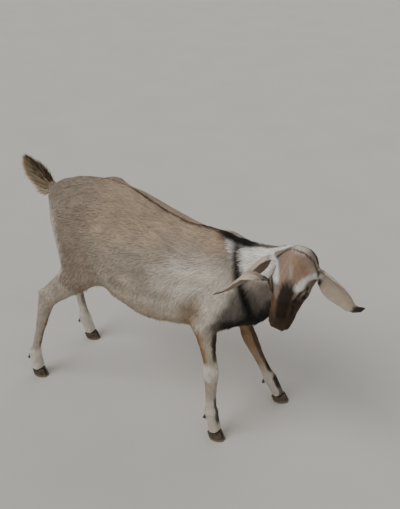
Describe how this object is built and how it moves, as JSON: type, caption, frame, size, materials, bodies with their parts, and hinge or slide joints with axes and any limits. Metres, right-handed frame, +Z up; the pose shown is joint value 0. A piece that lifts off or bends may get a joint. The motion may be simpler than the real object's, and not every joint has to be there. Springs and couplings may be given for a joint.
{
  "type": "nubian goat",
  "caption": "Standing lop-eared dairy goat, life size, head turned to its right and tail raised, as a still museum-style model.",
  "frame": {"origin": "on the floor, under the middle of the animal's overall box", "axes": "+X from the tail towards the breast, +Y to the goat's left, +Z up"},
  "size_m": [1.2386, 0.365, 0.7803],
  "materials": {
    "coat": "matte short hair",
    "face": "matte very short hair",
    "ear": "matte thin hair over skin",
    "tail_hair": "matte long hair",
    "hoof_horn": "semi-matte horn",
    "eye": "wet gloss"
  },
  "bodies": {
    "root": {"torso": "coat", "neck": "coat", "head": "face", "ear_left": "ear", "ear_right": "ear", "eye_left": "eye", "eye_right": "eye", "tail": "tail_hair", "forearm_front_left": "coat", "forearm_front_right": "coat", "cannon_front_left": "coat", "cannon_front_right": "coat", "gaskin_hind_left": "coat", "gaskin_hind_right": "coat", "cannon_hind_left": "coat", "cannon_hind_right": "coat", "hoof_front_left_inner": "hoof_horn", "hoof_front_left_outer": "hoof_horn", "hoof_front_right_inner": "hoof_horn", "hoof_front_right_outer": "hoof_horn", "hoof_hind_left_inner": "hoof_horn", "hoof_hind_left_outer": "hoof_horn", "hoof_hind_right_inner": "hoof_horn", "hoof_hind_right_outer": "hoof_horn"}
  },
  "joints": []
}
